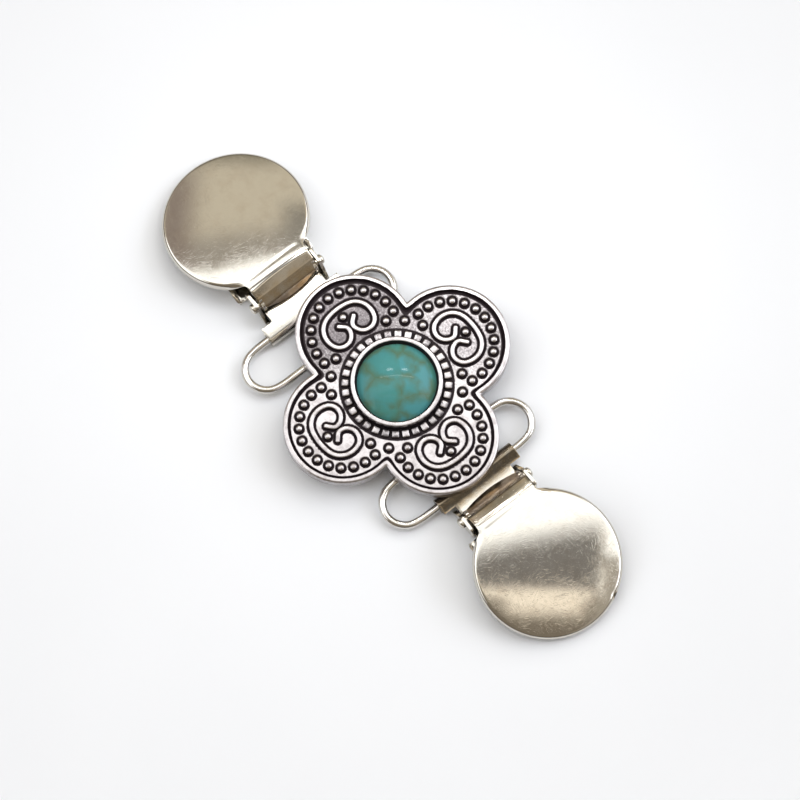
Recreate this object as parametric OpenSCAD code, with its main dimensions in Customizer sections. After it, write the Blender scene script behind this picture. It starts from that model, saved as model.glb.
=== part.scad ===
// Sweater clip: two round-faced steel clips joined by wire loops to a cast
// four-lobed ornament with a cabochon. X runs from clip a to clip b, Z is up,
// and the origin is on the surface below the middle of the ornament.

/* [Ornament] */
// Distance of each lobe's centre from the ornament's middle
lobe_reach = 10.2; // [9:0.1:11.5]
// Radius of each lobe
lobe_r = 9.05; // [8.2:0.05:9.6]
// Thickness of the cast plate under its relief
plate_t = 1.95; // [1.5:0.05:3]
// Height of the plate's underside above the surface
plate_z = 2.6; // [2.5:0.05:3.5]
// Width of the smooth rim
rim_w = 0.75; // [0.5:0.05:1]
// Height of the rim above the field
rim_h = 0.45; // [0.2:0.05:0.8]
// Diameter of a round bead
bead_d = 1.24; // [0.9:0.02:1.5]
// Number of beads that follow each lobe
lobe_beads = 13; // [9:2:13]
// Angle from one lobe bead to the next
lobe_bead_step = 16.35; // [14:0.05:17]
// Distance of the lobe beads' centres inside the lobe's edge
bead_inset = 2.4; // [2.2:0.05:2.7]
// Distance of the inner beads from the middle
inner_bead_r = 9.95; // [9.6:0.05:10.3]
// Width of the scroll's ridge
scroll_w = 0.72; // [0.5:0.02:0.9]
// Height of the scroll and of the pillow ring above the field
relief_h = 0.4; // [0.2:0.05:0.7]
// Number of pillows in the ring round the bezel
pillows = 32; // [24:1:36]
// Middle radius of the pillow ring
pillow_r = 7.75; // [7.7:0.05:7.9]
// Length of a pillow along the radius
pillow_l = 1.1; // [0.6:0.05:1.3]

/* [Stone and bezel] */
// Diameter of the cabochon
stone_d = 12; // [10.5:0.1:12.2]
// Height of the cabochon's straight edge
girdle_h = 1.5; // [0.8:0.1:2]
// Height of the cabochon's dome above its edge
dome_h = 2.2; // [1:0.1:3.5]
// Wall of the bezel at its foot
bezel_wall = 0.8; // [0.5:0.05:0.9]
// Height of the bezel above the field
bezel_h = 1.95; // [1.2:0.05:2.6]
// Depth of the stone's seat below the field
seat_depth = 0.55; // [0.2:0.05:1]

/* [Wire loops] */
// Diameter of the loop's wire
wire_d = 1.25; // [0.9:0.05:1.4]
// Distance between the middles of a loop's two long strands
loop_cc = 7; // [6.4:0.1:8.5]
// Length of a loop from wire middle to wire middle
loop_len = 26.8; // [25:0.1:32]
// Length of the straight part of a long strand
loop_straight = 17.2; // [16.9:0.1:18.5]
// Distance from the ornament's middle to the wire under it
lug_reach = 11.1; // [10:0.1:12.5]
// Place of loop a across the object
loop_a_slide = -3.4; // [-3.7:0.1:-2.6]
// Place of loop b across the object
loop_b_slide = 0.1; // [-0.4:0.1:1.4]

/* [Clips] */
// Thickness of the clips' steel sheet
sheet = 0.5; // [0.3:0.05:0.55]
// Height of the hinge pin's middle above the surface
pin_z = 3.75; // [3.5:0.05:4.2]
// Diameter of the hinge pin
pin_d = 1.2; // [0.9:0.05:1.3]
// Length of the hinge pin over its heads
pin_len = 13.8; // [13.4:0.1:15]
// Distance from the pin to the wire in the rolled tab
tab_reach = 4.6; // [4.4:0.1:6]
// Width of the rolled tab
tab_w = 14.9; // [13:0.1:15]
// Place of clip a across the object
clip_a_slide = -3.3; // [-3.7:0.1:-2.8]
// Place of clip b across the object
clip_b_slide = 0.9; // [0.3:0.1:1.2]
// Diameter of the round face
face_d = 22.8; // [21:0.1:25]
// Rise of the face's dome over its flat edge
face_rise = 0.9; // [0.4:0.1:1.8]
// Radius of the face's turned edge
face_edge_r = 1.1; // [0.8:0.05:1.5]
// Depth of the face's rim below its turned edge
face_rim = 0.35; // [0.1:0.05:0.45]
// Slope of the face down to its tip, in degrees
face_slope = 12.5; // [11.5:0.1:13]
// Height of the face's neck above the surface
neck_z = 6.5; // [6.4:0.05:7.2]
// Distance of the neck from the pin
neck_reach = 2.15; // [1.9:0.05:2.4]
// Width of the neck
neck_w = 10.7; // [9:0.1:11]
// Distance from the neck's edge to the middle of the round face
face_reach = 10.95; // [10.5:0.05:11.3]
// Half width of the jaw plate behind its round end
jaw_side = 7.2; // [6.6:0.1:8]
// Radius of the jaw plate's round end
jaw_r = 9.2; // [8.4:0.1:9.6]
// Height of the jaw's turned-up lip above the plate
lip_h = 0.6; // [0.2:0.05:0.7]
// Height of the ears above the surface
ear_h = 5; // [4.7:0.05:5.1]

/* [Hidden] */
$fn = 48;

// Clearances between pieces
wire_clear = 0.08;
lug_clear = 0.1;
pin_clear = 0.05;
stone_clear = 0.06;
ear_clear = 0.15;
wing_clear = 0.3;

// How far relief is sunk into what carries it, and how far a cut runs past it
sink = 0.1;
past = 1;

// Ornament
field_z = plate_z + plate_t;
bead_r = bead_d / 2;
bead_ring_r = lobe_r - bead_inset;
lobe_turn = 90;
inner_bead_turn = 16.3;
scroll_bead_reach = lobe_reach + 0.326 * lobe_r;
hub_r = pillow_r + pillow_l / 2 + sink;
pillow_fill = 0.66;

// Bezel and stone
stone_r = stone_d / 2;
bezel_bore_r = stone_r + stone_clear;
bezel_r = bezel_bore_r + bezel_wall;
bezel_flare = 0.3;
bezel_top_z = field_z + bezel_h;
seat_z = field_z - seat_depth;
stone_z = seat_z + stone_clear;
dome_r = (pow(stone_r, 2) + pow(dome_h, 2)) / (2 * dome_h);

// Wire, the tab's roll and the lugs under the ornament
wire_r = wire_d / 2;
roll_bore_r = wire_r + wire_clear;
roll_r = roll_bore_r + sheet;
lug_bore_r = wire_r + lug_clear;
lug_wall = 0.6;
lug_roof = 0.2;
lug_len = 2.4;
lug_spread = 3.2;
lug_half = lug_bore_r + lug_wall;
lug_z = plate_z - lug_roof - lug_bore_r;
loop_tilt = asin((lug_z - roll_r) / loop_cc);
loop_span = loop_cc * cos(loop_tilt);
wire_x = lug_reach + loop_span;
pin_x = wire_x + tab_reach;

// A loop's corner is a shallow bend and then a round end
bend = 10;
end_share = (1 - sin(bend)) / cos(bend);
bend_r = (loop_len / 2 - loop_straight / 2 - loop_cc / 2 * end_share)
       / (sin(bend) - (1 - cos(bend)) * end_share);
end_r = (loop_cc / 2 - bend_r * (1 - cos(bend))) / cos(bend);
bend_steps = 2;
end_steps = 12;
wire_sides = 10;

// Clip, in its own frame: u from the pin to the face's tip, v across, z up
pin_r = pin_d / 2;
pin_bore_r = pin_r + pin_clear;
head_over = 0.22;
head_r = pin_r + head_over;
ear_in = neck_w / 2 + ear_clear;
ear_out = ear_in + sheet;
ear_front = -0.6;
ear_toe = [-2.9, 1];
ear_back = neck_reach + ear_clear;
wing_out = ear_in - wing_clear;
wing_wall = 0.6;
wing_r = pin_bore_r + wing_wall;
jaw_start = ear_back + wing_clear;
face_r = face_d / 2;
face_u = neck_reach + face_reach * cos(face_slope);
ramp_foot = [ear_toe[0] + wing_clear, sheet / 2];
roll_c = [-tab_reach, roll_r];
roll_mid_r = roll_bore_r + sheet / 2;
foot_gap = norm(ramp_foot - roll_c);
ramp_turn = atan2(roll_c[1] - ramp_foot[1], roll_c[0] - ramp_foot[0])
          - asin(roll_mid_r / foot_gap) - 90;
roll_mouth = [-40, 15];

// The nose wraps the pin. Columns: direction from the pin in degrees, and the distance
// of the sheet's inner side from the pin as a share of the neck's height above the pin
nose_drop = neck_z - pin_z;
wing_back = 200;
wing_front = -40;
wing_root = [neck_reach, nose_drop - sheet];
wing_tip = [neck_reach + 2 * sheet, nose_drop - 2 * sheet];
nose = [[76, 0.473], [100, 0.47], [130, 0.48], [155, 0.5], [180, 0.53], [205, 0.55], [225, 0.565]];

// The face's plate in its own frame: s from the neck along the slope, n square to it
edge_c_r = face_r - face_edge_r;
cap_r = (pow(edge_c_r, 2) + pow(face_rise, 2)) / (2 * face_rise);
cap_lean = asin(edge_c_r / (cap_r - face_edge_r));
neck_n = sqrt(pow(cap_r, 2) - pow(face_reach, 2));
edge_c_n = (cap_r - face_edge_r) * cos(cap_lean) - neck_n;
cap_steps = 5;
edge_steps = 5;
neck_len = 2;
neck_cut = 1.8 * neck_len;

function ring(r, a) = [r * cos(a), r * sin(a)];

// Height of the face's dome over the neck's level, at a distance r from its middle
function dome(r) = sqrt(pow(cap_r, 2) - pow(r, 2)) - neck_n;

// Four lobes with a hub that fills the middle, drawn in or out by a width
module lobes(inset) {
    for (k = [0 : 3]) rotate(k * lobe_turn) translate([lobe_reach, 0]) circle(r = lobe_r - inset);
    circle(r = hub_r);
}

// One side of the scroll: its middle line is a chain of arcs that touch. Columns: how far
// an arc's centre lies outward from the lobe's centre and to the side, and its radius, all
// as shares of the lobe's radius, then the angle at which it ends and its steps
scroll_start = 90;
scroll = [[-0.497, 0, 0.994, 76.5, 1],
          [0.16, 0.158, 0.316, -24, 8],
          [0.116, 0.2575, 0.21, -170, 10]];
hook_share = 0.0995;
hook_end_turn = -230;
hook_len = 0.127 * lobe_r;
hook_steps = 4;
hook_sides = 10;

// A point at an angle round an arc of the scroll, moved out by off
function turned(c, r, a) = [c[0] + r * sin(a), c[1] + r * cos(a)];
function scroll_c(k) = [lobe_reach + scroll[k][0] * lobe_r, scroll[k][1] * lobe_r];
function hook_c() = turned(scroll_c(2), (scroll[2][2] - hook_share) * lobe_r, scroll[2][3]);
function hook_tip(off) = turned(hook_c(), hook_share * lobe_r + off, hook_end_turn)
                       + hook_len * [-cos(hook_end_turn), sin(hook_end_turn)];
function arc_points(c, r, from, to, n) =
    [for (i = [1 : n]) turned(c, r, from + (to - from) * i / n)];
function scroll_line(off) = concat(
    [turned(scroll_c(0), scroll[0][2] * lobe_r + off, scroll_start)],
    [for (k = [0 : 2]) let (from = k == 0 ? scroll_start : scroll[k - 1][3])
        each arc_points(scroll_c(k), scroll[k][2] * lobe_r + off, from, scroll[k][3], scroll[k][4])],
    arc_points(hook_c(), hook_share * lobe_r + off, scroll[2][3], hook_end_turn, hook_steps),
    [hook_tip(off)]);
function reversed(p) = [for (i = [len(p) - 1 : -1 : 0]) p[i]];

module scroll_side_2d() {
    polygon(concat(scroll_line(scroll_w / 2), reversed(scroll_line(-scroll_w / 2))));
    translate(hook_tip(0)) circle(r = scroll_w / 2, $fn = hook_sides);
}

module lobe_relief() {
    linear_extrude(relief_h + sink) {
        scroll_side_2d();
        mirror([0, 1]) scroll_side_2d();
    }
    half = (lobe_beads - 1) / 2;
    translate([lobe_reach, 0, sink]) for (i = [-half : half])
        translate(ring(bead_ring_r, i * lobe_bead_step)) sphere(r = bead_r);
    for (i = [-1 : 1])
        translate(concat(ring(inner_bead_r, lobe_turn / 2 + i * inner_bead_turn), sink)) sphere(r = bead_r);
    translate([scroll_bead_reach, 0, sink]) sphere(r = bead_r);
}

module pillow_ring() {
    pitch = 360 / pillows;
    pillow_w = 2 * pillow_r * sin(pitch / 2) * pillow_fill;
    for (i = [0 : pillows - 1]) rotate((i + 0.5) * pitch)
        translate([pillow_r - pillow_l / 2, -pillow_w / 2, 0]) cube([pillow_l, pillow_w, relief_h + sink]);
}

module bezel() {
    translate([0, 0, field_z - sink]) cylinder(r = bezel_r, h = bezel_h + sink);
}

// The bore for the stone and the bezel's flared mouth
module stone_seat() {
    translate([0, 0, seat_z]) cylinder(r = bezel_bore_r, h = bezel_top_z - seat_z + past);
    translate([0, 0, bezel_top_z - bezel_flare])
        cylinder(r1 = bezel_bore_r, r2 = bezel_bore_r + 2 * bezel_flare, h = 2 * bezel_flare);
}

// A lug is a block under the plate with a bore for the wire
module lug() {
    rotate([90, 0, 0]) linear_extrude(lug_len, center = true) difference() {
        translate([-lug_half, lug_z - lug_half]) square([2 * lug_half, plate_z + sink - lug_z + lug_half]);
        translate([0, lug_z]) circle(r = lug_bore_r);
    }
}

module ornament() {
    color([0.76, 0.74, 0.74]) {
        difference() {
            union() {
                translate([0, 0, plate_z]) linear_extrude(plate_t) lobes(0);
                translate([0, 0, field_z - sink]) linear_extrude(rim_h + sink) difference() {
                    lobes(0);
                    lobes(rim_w);
                }
                bezel();
                translate([0, 0, field_z - sink]) {
                    pillow_ring();
                    for (k = [0 : 3]) rotate(k * lobe_turn) lobe_relief();
                }
            }
            stone_seat();
        }
        for (x = [-lug_reach, lug_reach], y = [-lug_spread, lug_spread]) translate([x, y, 0]) lug();
    }
}

// A cabochon: a straight edge under a dome
module stone() {
    color([0.25, 0.68, 0.66]) translate([0, 0, stone_z]) {
        cylinder(r = stone_r, h = girdle_h);
        intersection() {
            translate([0, 0, girdle_h + dome_h - dome_r]) sphere(r = dome_r);
            cylinder(r = stone_r, h = girdle_h + dome_h + past);
        }
    }
}

// Stations along one end of a loop, each with its place and the angle of its outward
// side: a shallow bend, the round end and a bend back
function bow(c, r, from, to, n) =
    [for (i = [0 : n]) let (a = from + (to - from) * i / n) [c + ring(r, a), a]];
function end_stations() = let (y = loop_straight / 2, x = loop_cc / 2 - bend_r) concat(
    bow([x, y], bend_r, 0, bend, bend_steps),
    bow([0, y + (bend_r - end_r) * sin(bend)], end_r, bend, 180 - bend, end_steps),
    bow([-x, y], bend_r, 180 - bend, 180, bend_steps));
function loop_stations() = concat(end_stations(), [for (s = end_stations()) [-s[0], s[1] + 180]]);

// A closed wire: one ring of points round each station, joined to the next
module wire_ring(stations) {
    n = len(stations);
    w = wire_sides;
    points = [for (s = stations, j = [0 : w - 1]) let (a = (j + 0.5) * 360 / w)
        concat(s[0] + ring(wire_r * cos(a), s[1]), wire_r * sin(a))];
    polyhedron(points, [for (i = [0 : n - 1], j = [0 : w - 1])
        let (k = (i + 1) % n, m = (j + 1) % w) [i * w + j, i * w + m, k * w + m, k * w + j]]);
}

// A loop lies with one strand in its clip's tab and the other in the lugs
module wire_loop(slide, turn) {
    color([0.72, 0.7, 0.66]) rotate(turn) translate([wire_x, 0, roll_r]) rotate([0, loop_tilt, 0])
        translate([-loop_cc / 2, slide, 0]) wire_ring(loop_stations());
}

module wire_loop_a() wire_loop(-loop_a_slide, 180);
module wire_loop_b() wire_loop(loop_b_slide, 0);

// Puts a clip in its place: turn 0 for clip b and 180 for clip a
module placed(slide, turn) {
    rotate(turn) translate([pin_x, slide, 0]) children();
}

// Draws a side view, u against z, and gives it a width across the clip
module across(width) {
    rotate([90, 0, 0]) linear_extrude(width, center = true) children();
}

// What the pin's running fit takes out of the ears and the cheeks
module pin_bore() {
    translate([0, 0, pin_z]) rotate([90, 0, 0])
        cylinder(r = pin_bore_r, h = 2 * ear_out + 2 * past, center = true);
}

module jaw_2d(inset) {
    translate([face_u, 0]) circle(r = jaw_r - inset);
    translate([jaw_start + inset, inset - jaw_side])
        square([face_u - jaw_start - inset, 2 * (jaw_side - inset)]);
}

// The sheet rises from the plate, goes over the wire and curls under it
module rolled_tab() {
    out = ring(1, ramp_turn);
    reach = 3 * roll_r;
    across(tab_w) {
        difference() {
            translate(roll_c) circle(r = roll_r);
            translate(roll_c) circle(r = roll_bore_r);
            translate(roll_c) polygon([[0, 0], ring(reach, roll_mouth[0]), ring(reach, roll_mouth[1])]);
        }
        polygon([ramp_foot - out * sheet / 2, ramp_foot + out * sheet / 2,
                 roll_c + out * roll_r, roll_c + out * roll_bore_r]);
    }
}

module ears() {
    difference() {
        for (v = [-ear_in - sheet / 2, ear_in + sheet / 2]) translate([0, v, 0]) across(sheet)
            polygon([[ear_toe[0], 0], [ear_back, 0], [ear_back, ear_h], [ear_front, ear_h], ear_toe]);
        pin_bore();
    }
}

module clip_base(slide, turn) {
    color([0.7, 0.68, 0.63]) placed(slide, turn) {
        linear_extrude(sheet) {
            translate([ramp_foot[0], -ear_out]) square([jaw_start + sink - ramp_foot[0], 2 * ear_out]);
            jaw_2d(0);
        }
        linear_extrude(sheet + lip_h) difference() {
            jaw_2d(0);
            jaw_2d(sheet);
            translate([jaw_start - past, -ear_out]) square([2 * past + sheet, 2 * ear_out]);
        }
        translate([ramp_foot[0], -tab_w / 2, 0]) cube([sheet, tab_w, sheet]);
        rolled_tab();
        ears();
    }
}

module clip_base_a() clip_base(-clip_a_slide, 180);
module clip_base_b() clip_base(clip_b_slide, 0);

// A plain pin with a peened head at each end
module hinge_pin(slide, turn) {
    head_l = pin_len / 2 - ear_out - pin_clear;
    color([0.62, 0.6, 0.56]) placed(slide, turn) translate([0, 0, pin_z]) rotate([90, 0, 0]) {
        cylinder(r = pin_r, h = pin_len, center = true);
        for (s = [0, 1]) mirror([0, 0, s]) translate([0, 0, pin_len / 2 - head_l])
            cylinder(r = head_r, h = head_l);
    }
}

module hinge_pin_a() hinge_pin(-clip_a_slide, 180);
module hinge_pin_b() hinge_pin(clip_b_slide, 0);

// The face's section at a depth under its outer side: a dome, then a turned edge
function face_line(depth) = concat(
    [for (i = [0 : cap_steps]) let (a = cap_lean * i / cap_steps)
        [(cap_r - depth) * sin(a), (cap_r - depth) * cos(a) - neck_n]],
    [for (i = [1 : edge_steps])
        [edge_c_r, edge_c_n] + ring(face_edge_r - depth, (90 - cap_lean) * (1 - i / edge_steps))]);

module face_plate() {
    rotate_extrude() polygon(concat(face_line(0), [[face_r, edge_c_n - face_rim]],
        [[face_r - sheet, edge_c_n - face_rim]], reversed(face_line(sheet))));
}

// The dome's sheet runs on to the neck's straight edge
module neck_plate() {
    across(neck_w) polygon([[0, 0], [neck_len, dome(face_reach - neck_len)],
                            [neck_len, dome(face_reach - neck_len) - sheet], [0, -sheet]]);
}

module face() {
    difference() {
        translate([face_reach, 0, 0]) face_plate();
        translate([-neck_len, -neck_w / 2, -face_r]) cube([neck_cut, neck_w, 2 * face_r]);
    }
    neck_plate();
}

// The nose bends down from the neck and wraps the pin
function nose_line(off) = [for (row = nose) ring(row[1] * nose_drop + off, row[0])];

module nose_piece() {
    translate([0, 0, pin_z]) across(neck_w)
        polygon(concat([[neck_reach, nose_drop]], nose_line(sheet),
                       reversed(nose_line(0)), [[neck_reach, nose_drop - sheet]]));
}

// Cheeks under the neck that turn on the pin, inside the ears
module wings() {
    top = [0, nose[0][1] * nose_drop + sheet / 2];
    for (v = [-wing_out + sheet / 2, wing_out - sheet / 2]) translate([0, v, pin_z])
        across(sheet) difference() {
            union() {
                circle(r = wing_r);
                polygon([ring(wing_r, wing_back), ring(wing_r, wing_front), wing_tip, wing_root, top]);
            }
            circle(r = pin_bore_r);
        }
}

module clip_lever(slide, turn) {
    color([0.75, 0.72, 0.66]) placed(slide, turn) {
        difference() {
            union() {
                translate([neck_reach, 0, neck_z]) rotate([0, face_slope, 0]) face();
                nose_piece();
                wings();
            }
            pin_bore();
        }
    }
}

module clip_lever_a() clip_lever(-clip_a_slide, 180);
module clip_lever_b() clip_lever(clip_b_slide, 0);

ornament();
stone();
wire_loop_a();
wire_loop_b();
clip_base_a();
clip_base_b();
hinge_pin_a();
hinge_pin_b();
clip_lever_a();
clip_lever_b();
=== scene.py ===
import bmesh
import bpy
import numpy as np
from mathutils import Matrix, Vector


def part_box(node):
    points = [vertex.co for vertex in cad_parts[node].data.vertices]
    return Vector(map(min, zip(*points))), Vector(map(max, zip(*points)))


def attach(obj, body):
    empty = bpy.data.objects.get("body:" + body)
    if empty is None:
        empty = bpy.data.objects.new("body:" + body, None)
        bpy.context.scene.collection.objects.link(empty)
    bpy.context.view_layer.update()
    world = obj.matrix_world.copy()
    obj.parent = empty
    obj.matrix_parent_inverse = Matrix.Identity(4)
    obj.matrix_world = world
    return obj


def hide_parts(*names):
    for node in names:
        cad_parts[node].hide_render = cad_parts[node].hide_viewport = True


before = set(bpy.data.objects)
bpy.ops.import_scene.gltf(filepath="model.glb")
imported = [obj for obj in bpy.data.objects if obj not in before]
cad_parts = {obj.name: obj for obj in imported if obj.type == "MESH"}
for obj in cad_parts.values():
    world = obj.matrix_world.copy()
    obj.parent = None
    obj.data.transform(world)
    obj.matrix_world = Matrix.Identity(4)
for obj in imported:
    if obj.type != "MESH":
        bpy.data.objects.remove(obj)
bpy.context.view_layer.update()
MM = 0.001


def node_box(node):
    """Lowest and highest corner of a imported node, in millimetres."""
    low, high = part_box(node)
    return np.array(low) / MM, np.array(high) / MM


def put_in_scene(name, data):
    """A new object for a camera, a lamp or a mesh."""
    thing = bpy.data.objects.new(name, data)
    bpy.context.scene.collection.objects.link(thing)
    return thing


# %% [markdown]
# ## The camera
# The clip lies on a table and is seen from almost straight above, about 14 degrees off. The
# object is turned on the table, so two unit vectors say where the picture's right and top point
# in the object's frame. A long lens at 0.8 m gives the mild perspective of the picture.
# %% Camera
EAST = np.array([0.617, 0.787, 0.0])
NORTH = np.array([-0.787, 0.617, 0.0])
UP = np.array([0.0, 0.0, 1.0])
look_at = np.array([1.33, -0.42, 0.0])
camera_distance = 800.0
camera_lean = 13.8
pixels_per_mm = 6.62
picture_px = 800
sensor_mm = 36.0


def overhead(east, north, distance):
    """A point at a distance from the middle of the table, in the direction that leans from
    straight up by so many degrees towards the picture's right (east) and top (north)."""
    lean = np.radians(np.hypot(east, north))
    side = (east * EAST + north * NORTH) / max(np.hypot(east, north), 1e-9)
    return distance * (np.sin(lean) * side + np.cos(lean) * UP)


def aim(thing, place, target):
    """Puts a camera or light at a place, with its -Z axis on the target and +Y turned north."""
    back = (place - target) / np.linalg.norm(place - target)
    right = np.cross(NORTH, back)
    right /= np.linalg.norm(right)
    matrix = np.eye(4)
    matrix[:3, :3] = np.stack([right, np.cross(back, right), back], axis=1)
    matrix[:3, 3] = place * MM
    thing.matrix_world = matrix.T.tolist()


camera = put_in_scene("camera", bpy.data.cameras.new("camera"))
camera.data.sensor_width = sensor_mm
camera.data.lens = pixels_per_mm * camera_distance / picture_px * sensor_mm
camera.data.clip_start = 0.01
bpy.context.scene.camera = camera
aim(camera, look_at + overhead(0, -camera_lean, camera_distance), look_at)
print("lens", round(camera.data.lens, 1), "mm")

# %% [markdown]
# ## Light
# Bright metal shows the room more than itself, so the room is drawn with care, as boards round the
# clip. From the bottom of the picture to the top come a brown wall, a lit cream board, a dark gap
# where the camera is, a wide white panel, a grey ledge, and a beige wall with a curtain, a book and
# a shelf before it. A window to the east and one to the west give the table its light. Down at the
# horizon it is dark, and that draws the fine dark outlines of the wires and the turned edges. The
# borders of a board are soft steps.
# %% Sky
room_light = 1.22
wall_brown = (0.21, 0.18, 0.142)
far = 300.0
# Each board: its borders to the west, east, south and north in degrees, how far the south and
# north borders climb for a degree east, how soft they are, and the board's light
boards = {
    "cream_board": (-90, 32, -18.5, far, 0, 1.6, (1.22, 1.1, 0.93)),
    "cream_apron": (4, 29, -23.4, far, 0, 2.6, (1.22, 1.1, 0.93)),
    "camera_gap": (-far, far, -15.3, far, 0, 1.4, (0.222, 0.21, 0.197)),
    "grey_corner": (33, far, -60, far, 0, 1.2, (0.42, 0.38, 0.32)),
    "bright_slit": (33.5, 35.5, -17, -8, 0, 0.8, (1.3, 1.25, 1.15)),
    "white_panel": (-far, far, -2.4, far, 0.25, 5.0, (1.6, 1.6, 1.58)),
    "panel_wing": (35, 60, -4, 60, 0, 1.2, (1.6, 1.6, 1.58)),
    "grey_ledge": (-26, far, 23.4, far, 0.22, 2.0, (0.39, 0.36, 0.315)),
    "grey_sill": (-far, -21, 19.5, far, 0, 2.0, (0.39, 0.36, 0.315)),
    "beige_wall": (-far, far, 31.5, far, 0.05, 4.5, (0.655, 0.595, 0.48)),
    "brown_curtain": (-46, -31, 20, 60, 0, 6.0, (0.3, 0.25, 0.22)),
    "grey_book": (-2, 14, 24, 41, 0, 4.0, (0.3, 0.28, 0.245)),
    "olive_shelf": (-far, -4, 56, far, -0.2, 4.0, (0.3, 0.275, 0.215)),
    "east_window": (47, 84, -20, 75, 0, 2.0, (2.9, 2.95, 3.1)),
    "west_window": (-86, -46, -45, 30, 0, 2.0, (1.7, 1.72, 1.75)),
}
horizon_dark = (0.12, 0.10, 0.08)
horizon_start, horizon_end = 64.0, 92.0
world = bpy.data.worlds.new("soft_room")
bpy.context.scene.world = world
world.use_nodes = True


def fill(node, inputs):
    """Fills a node's inputs with values, or with links from other nodes' outputs."""
    for name, value in inputs.items():
        if isinstance(value, bpy.types.NodeSocket):
            node.id_data.links.new(value, node.inputs[name])
        else:
            node.inputs[name].default_value = value
    return node


def wire(kind, inputs, **settings):
    """Adds a node to the tree of its first input, sets its properties and fills its inputs."""
    node = next(iter(inputs.values())).id_data.nodes.new(kind)
    for name, value in settings.items():
        setattr(node, name, value)
    return fill(node, inputs)


def math(operation, first, second=0.0):
    """A Math node's output."""
    return wire("ShaderNodeMath", {0: first, 1: second}, operation=operation).outputs[0]


def vector_math(operation, first, second, output="Vector"):
    """A Vector Math node's output."""
    return wire("ShaderNodeVectorMath", {0: first, 1: second}, operation=operation).outputs[output]


def dot(vector, axis):
    """The share of a vector along an axis."""
    return vector_math("DOT_PRODUCT", vector, tuple(axis), "Value")


def ramp(value, low, high, to_low=0.0, to_high=1.0):
    """A value moved from one range to another along an S curve."""
    inputs = {"Value": value, "From Min": low, "From Max": high, "To Min": to_low, "To Max": to_high}
    return wire("ShaderNodeMapRange", inputs, interpolation_type="SMOOTHSTEP").outputs[0]


def mix(share, low, high):
    """A colour between two, or a link to one, by a share from 0 to 1."""
    inputs = {0: share}
    for socket, colour in ((6, low), (7, high)):
        inputs[socket] = (*colour, 1.0) if isinstance(colour, tuple) else colour
    return wire("ShaderNodeMix", inputs, data_type="RGBA", clamp_factor=True).outputs[2]


def sky_colour(tree):
    """The room's light. A direction's lean to the east and north is 2 tan(angle / 2) in degrees,
    and each part of the room begins at a straight border in those two leans."""
    direction = tree.nodes.new("ShaderNodeTexCoord").outputs["Generated"]
    height = math("ADD", dot(direction, UP), 1.0001)
    shares = [math("DIVIDE", dot(direction, axis), height) for axis in (EAST, NORTH)]
    east, north = [math("MULTIPLY", share, 2 * np.degrees(1.0)) for share in shares]
    total = wall_brown
    for west_edge, east_edge, south_edge, north_edge, climb, soft, light in boards.values():
        level = math("SUBTRACT", north, math("MULTIPLY", east, climb))
        cover = 1.0
        for lean, edge, inward in ((east, west_edge, soft), (east, east_edge, -soft),
                                   (level, south_edge, soft), (level, north_edge, -soft)):
            if abs(edge) < far:
                cover = math("MULTIPLY", ramp(lean, edge - inward, edge + inward), cover)
        total = mix(cover, total, light)
    square = math("ADD", math("MULTIPLY", east, east), math("MULTIPLY", north, north))
    low = ramp(math("SQRT", square), horizon_start, horizon_end)
    return mix(low, total, horizon_dark)


sky = world.node_tree
fill(sky.nodes["Background"], {"Strength": room_light, "Color": sky_colour(sky)})
print("boards round the clip:", len(boards))

# %% Lamps
# Each lamp: name, lean to the east and north, distance, width and depth in mm, and brightness.
# They hang close, so that their reflections fall on the stone and miss the two faces
lamps = [
    ("strip_lamp", 0, 20, 100, 113, 3.4, 9.0),
    ("left_small_lamp", -12, 31, 60, 11, 3.4, 20.0),
    ("right_small_lamp", 14, 31, 60, 11, 3.4, 20.0),
]


def add_lamp(name, east, north, distance, width, depth, radiance):
    """A rectangular lamp that faces the middle of the table. Its power is its radiance times its
    area times pi."""
    lamp = bpy.data.lights.new(name, "AREA")
    lamp.shape = "RECTANGLE"
    lamp.size = width * MM
    lamp.size_y = depth * MM
    lamp.energy = radiance * np.pi * lamp.size * lamp.size_y
    holder = put_in_scene(name, lamp)
    holder.visible_camera = False
    aim(holder, overhead(east, north, distance), np.zeros(3))


for lamp_row in lamps:
    add_lamp(*lamp_row)
bpy.context.scene.view_settings.view_transform = "Standard"
print("lamps:", len(lamps))

# %% [markdown]
# ## Making surfaces
# Every new piece is a grid of points worked out at once as a numpy array, with rows along one
# parameter and columns along the other. One function turns such grids into a mesh: it joins each
# point to its neighbours, closes the grid where the surface comes round to itself, and welds
# points that fall on the same place, so seams and poles are closed. Bent sheet is drawn as one
# side of the metal, and a Solidify and a Bevel modifier give it thickness and soft edges.
# %% Surface maker
weld_mm = 0.0005
sheet_t, cut_edge_r = 0.5, 0.07


def sheet(points, close_rows=False, close_cols=False, patina_and_shade=0.0):
    """One grid for make_piece. Points have the shape (rows, columns, 3), or (copies, rows,
    columns, 3) for a repeated form. The last argument says how dark the surface is painted, from
    0 to 1: on silver the patina left in hollows together with painted shade and reflection, on
    nickel plate only painted shade and reflection, and there more than 1 is painted black shade."""
    copies = points.reshape((-1,) + points.shape[-3:])
    count, rows, cols, _ = copies.shape
    n, i, j = np.ogrid[:count, :rows - (not close_rows), :cols - (not close_cols)]
    down, right = (i + 1) % rows, (j + 1) % cols
    corners = [i * cols + j, i * cols + right, down * cols + right, down * cols + j]
    faces = np.stack([n * rows * cols + corner for corner in corners], axis=-1).reshape(-1, 4)
    return copies.reshape(-1, 3), faces, np.broadcast_to(patina_and_shade, copies.shape[:3]).ravel()


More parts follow.
